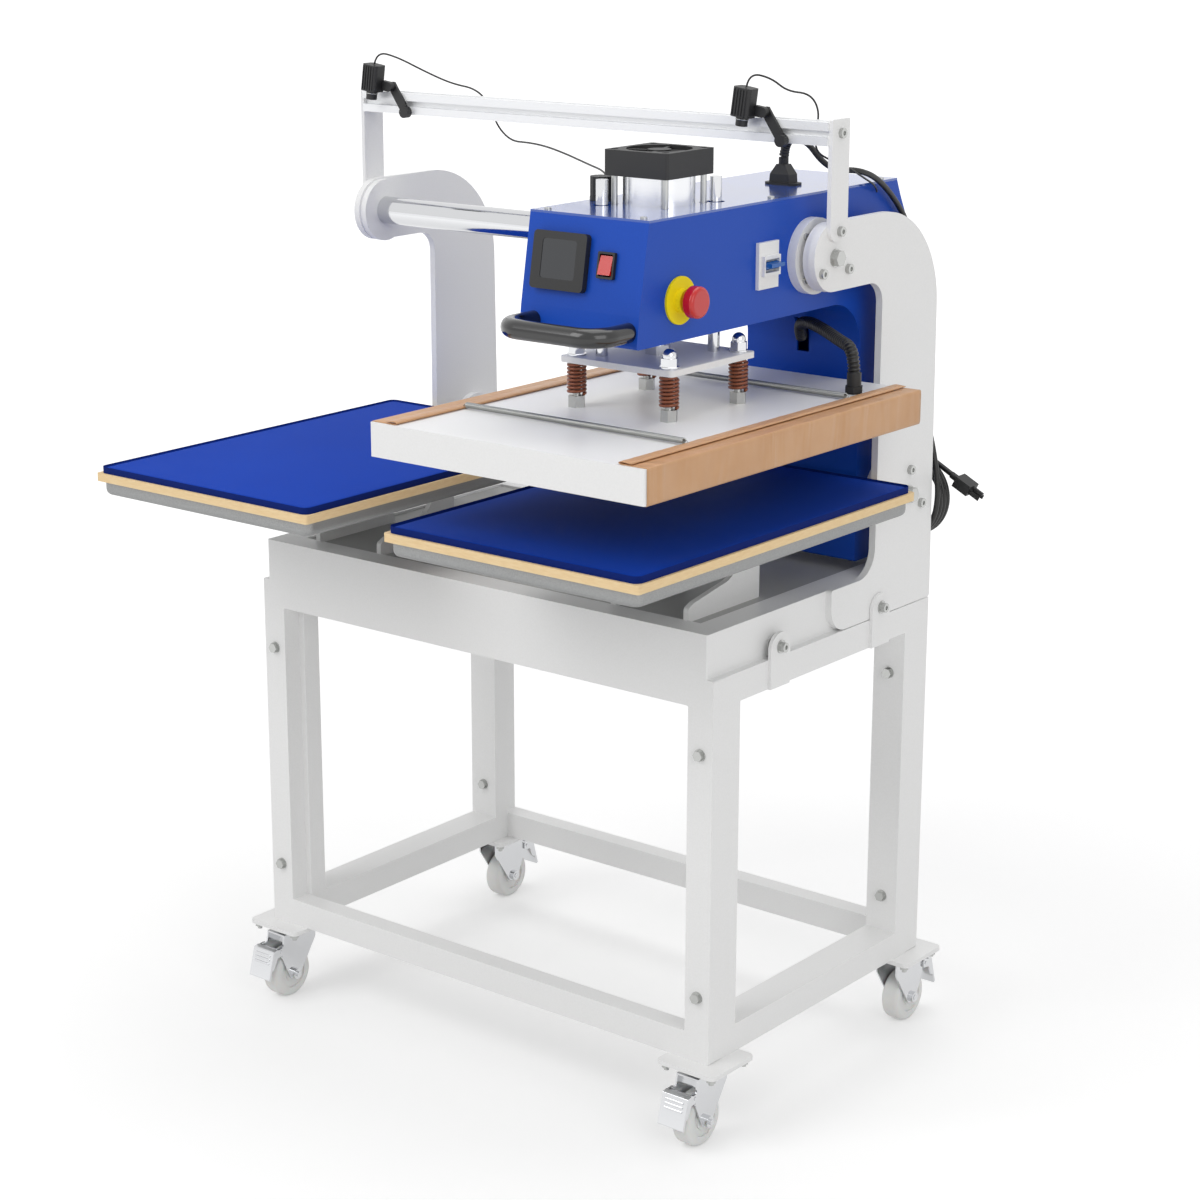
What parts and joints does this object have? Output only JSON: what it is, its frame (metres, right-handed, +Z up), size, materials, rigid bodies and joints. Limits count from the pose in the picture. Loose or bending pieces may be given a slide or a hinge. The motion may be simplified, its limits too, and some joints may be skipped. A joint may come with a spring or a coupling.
{
  "type": "dual station heat press",
  "caption": "Pneumatic flat heat press: a sliding head with a sprung heater over side by side padded platens, on a wheeled stand.",
  "frame": {"origin": "middle of the footprint, on the floor", "axes": "+X to the machine's right along the shafts, +Y to its rear, +Z up"},
  "size_m": [0.9654, 0.8301, 1.3998],
  "materials": {
    "white_paint": "powder coat, satin",
    "blue_paint": "powder coat, satin",
    "steel": "zinc plated",
    "chrome": "polished",
    "aluminium": "extruded, satin",
    "cast_aluminium": "cast, matt",
    "deck_steel": "powder coat, matt",
    "board": "bare board edge",
    "blue_foam": "silicone foam, matt",
    "black_plastic": "moulded",
    "red_plastic": "moulded",
    "yellow_plastic": "sheet",
    "blue_plastic": "moulded",
    "white_nylon": "moulded",
    "spring_brown": "painted spring steel",
    "hose_black": "ribbed, satin",
    "white_plastic": "moulded",
    "cord_black": "sheath, matt",
    "ptfe": "coated glass cloth",
    "brass": "turned"
  },
  "bodies": {
    "base": {"stand_end_frames": "white_paint", "stand_side_frames": "white_paint", "stand_bolts": "steel", "tray_frame": "white_paint", "deck_plate": "deck_steel", "platen_brackets": "white_paint", "platen_trays": "cast_aluminium", "platen_boards": "board", "platen_pads": "blue_foam", "side_plates": "white_paint", "guide_shafts": "chrome", "shaft_end_discs": "white_paint", "side_bolts": "steel", "beam_uprights": "white_paint", "laser_beam": "aluminium", "lamp_mounts": "black_plastic", "caster_plates": "white_paint", "mains_cord": "cord_black", "mains_plug": "black_plastic", "lamp_cords": "cord_black"},
    "head": {"head_housing": "blue_paint", "head_cover": "blue_paint", "head_bearings": "white_paint", "head_screws": "steel", "display_module": "black_plastic", "rocker_bezel": "black_plastic", "estop_base": "yellow_plastic", "breaker_body": "white_plastic", "handle": "black_plastic", "cylinder_body": "aluminium", "cylinder_cap": "black_plastic", "mains_inlet": "black_plastic"},
    "rocker": {"rocker_switch": "red_plastic"},
    "stop_button": {"estop_button": "red_plastic"},
    "toggle": {"breaker_toggle": "blue_plastic"},
    "knob": {"pressure_knob": "black_plastic"},
    "press": {"press_rods": "chrome", "spring_plate": "white_paint"},
    "heater": {"heater_cover": "white_paint", "heater_plate": "cast_aluminium", "non_stick_sheet": "ptfe", "heater_hardware": "steel", "stud_nuts": "chrome", "press_springs": "spring_brown", "hold_springs": "steel", "conduit": "hose_black"},
    "left_lamp": {"lamp_left": "black_plastic"},
    "right_lamp": {"lamp_right": "black_plastic"},
    "fork_front_right": {"caster_fork_front_right": "chrome"},
    "wheel_front_right": {"caster_wheel_front_right": "white_nylon"},
    "pedal_front_right": {"caster_pedal_front_right": "chrome"},
    "fork_front_left": {"caster_fork_front_left": "chrome"},
    "wheel_front_left": {"caster_wheel_front_left": "white_nylon"},
    "pedal_front_left": {"caster_pedal_front_left": "chrome"},
    "fork_rear_right": {"caster_fork_rear_right": "chrome"},
    "wheel_rear_right": {"caster_wheel_rear_right": "white_nylon"},
    "pedal_rear_right": {"caster_pedal_rear_right": "chrome"},
    "fork_rear_left": {"caster_fork_rear_left": "chrome"},
    "wheel_rear_left": {"caster_wheel_rear_left": "white_nylon"},
    "pedal_rear_left": {"caster_pedal_rear_left": "chrome"}
  },
  "joints": [
    {"name": "head_slide", "type": "slide", "parent": "base", "child": "head", "axis": [1, 0, 0], "range_m": [-0.544, 0], "deforming": ["mains_cord", "lamp_cords"]},
    {"name": "press_slide", "type": "slide", "parent": "head", "child": "press", "axis": [0, 0, -1], "range_m": [0, 0.089], "deforming": ["conduit"]},
    {"name": "heater_float", "type": "slide", "parent": "press", "child": "heater", "axis": [0, 0, 1], "range_m": [0, 0.005], "stiffness_N_per_m": 40000, "deforming": ["press_springs"]},
    {"name": "rocker_tip", "type": "hinge", "parent": "head", "child": "rocker", "pos_m": [0.30225, -0.25781, 1.18925], "axis": [1, 0, 0], "range_deg": [0, 16]},
    {"name": "stop_push", "type": "slide", "parent": "head", "child": "stop_button", "axis": [-1, 0, 0], "range_m": [0, 0.006], "stiffness_N_per_m": 400},
    {"name": "toggle_flip", "type": "hinge", "parent": "head", "child": "toggle", "pos_m": [0.36575, -0.001, 1.165], "axis": [0, 1, 0], "range_deg": [-24, 24]},
    {"name": "knob_turn", "type": "hinge", "parent": "head", "child": "knob", "pos_m": [0.18925, -0.126, 1.262], "axis": [0, 0, 1], "range_deg": [-170, 170]},
    {"name": "left_lamp_tilt", "type": "hinge", "parent": "base", "child": "left_lamp", "pos_m": [-0.35075, 0.068, 1.35], "axis": [0, 1, 0], "range_deg": [-30, 30], "deforming": ["lamp_cords"]},
    {"name": "right_lamp_tilt", "type": "hinge", "parent": "base", "child": "right_lamp", "pos_m": [0.30525, 0.068, 1.35], "axis": [0, 1, 0], "range_deg": [-30, 30], "deforming": ["lamp_cords"]},
    {"name": "swivel_front_right", "type": "hinge", "parent": "base", "child": "fork_front_right", "pos_m": [0.37925, -0.139, 0.1], "axis": [0, 0, 1], "continuous": true},
    {"name": "roll_front_right", "type": "hinge", "parent": "fork_front_right", "child": "wheel_front_right", "pos_m": [0.37925, -0.159, 0.0375], "axis": [1, 0, 0], "continuous": true},
    {"name": "brake_front_right", "type": "hinge", "parent": "fork_front_right", "child": "pedal_front_right", "pos_m": [0.37925, -0.189, 0.082], "axis": [1, 0, 0], "range_deg": [-14, 0]},
    {"name": "swivel_front_left", "type": "hinge", "parent": "base", "child": "fork_front_left", "pos_m": [-0.39275, -0.139, 0.1], "axis": [0, 0, 1], "continuous": true},
    {"name": "roll_front_left", "type": "hinge", "parent": "fork_front_left", "child": "wheel_front_left", "pos_m": [-0.39275, -0.159, 0.0375], "axis": [1, 0, 0], "continuous": true},
    {"name": "brake_front_left", "type": "hinge", "parent": "fork_front_left", "child": "pedal_front_left", "pos_m": [-0.39275, -0.189, 0.082], "axis": [1, 0, 0], "range_deg": [-14, 0]},
    {"name": "swivel_rear_right", "type": "hinge", "parent": "base", "child": "fork_rear_right", "pos_m": [0.37925, 0.337, 0.1], "axis": [0, 0, 1], "continuous": true},
    {"name": "roll_rear_right", "type": "hinge", "parent": "fork_rear_right", "child": "wheel_rear_right", "pos_m": [0.37925, 0.357, 0.0375], "axis": [1, 0, 0], "continuous": true},
    {"name": "brake_rear_right", "type": "hinge", "parent": "fork_rear_right", "child": "pedal_rear_right", "pos_m": [0.37925, 0.387, 0.082], "axis": [-1, 0, 0], "range_deg": [-14, 0]},
    {"name": "swivel_rear_left", "type": "hinge", "parent": "base", "child": "fork_rear_left", "pos_m": [-0.39275, 0.337, 0.1], "axis": [0, 0, 1], "continuous": true},
    {"name": "roll_rear_left", "type": "hinge", "parent": "fork_rear_left", "child": "wheel_rear_left", "pos_m": [-0.39275, 0.357, 0.0375], "axis": [1, 0, 0], "continuous": true},
    {"name": "brake_rear_left", "type": "hinge", "parent": "fork_rear_left", "child": "pedal_rear_left", "pos_m": [-0.39275, 0.387, 0.082], "axis": [-1, 0, 0], "range_deg": [-14, 0]}
  ]
}
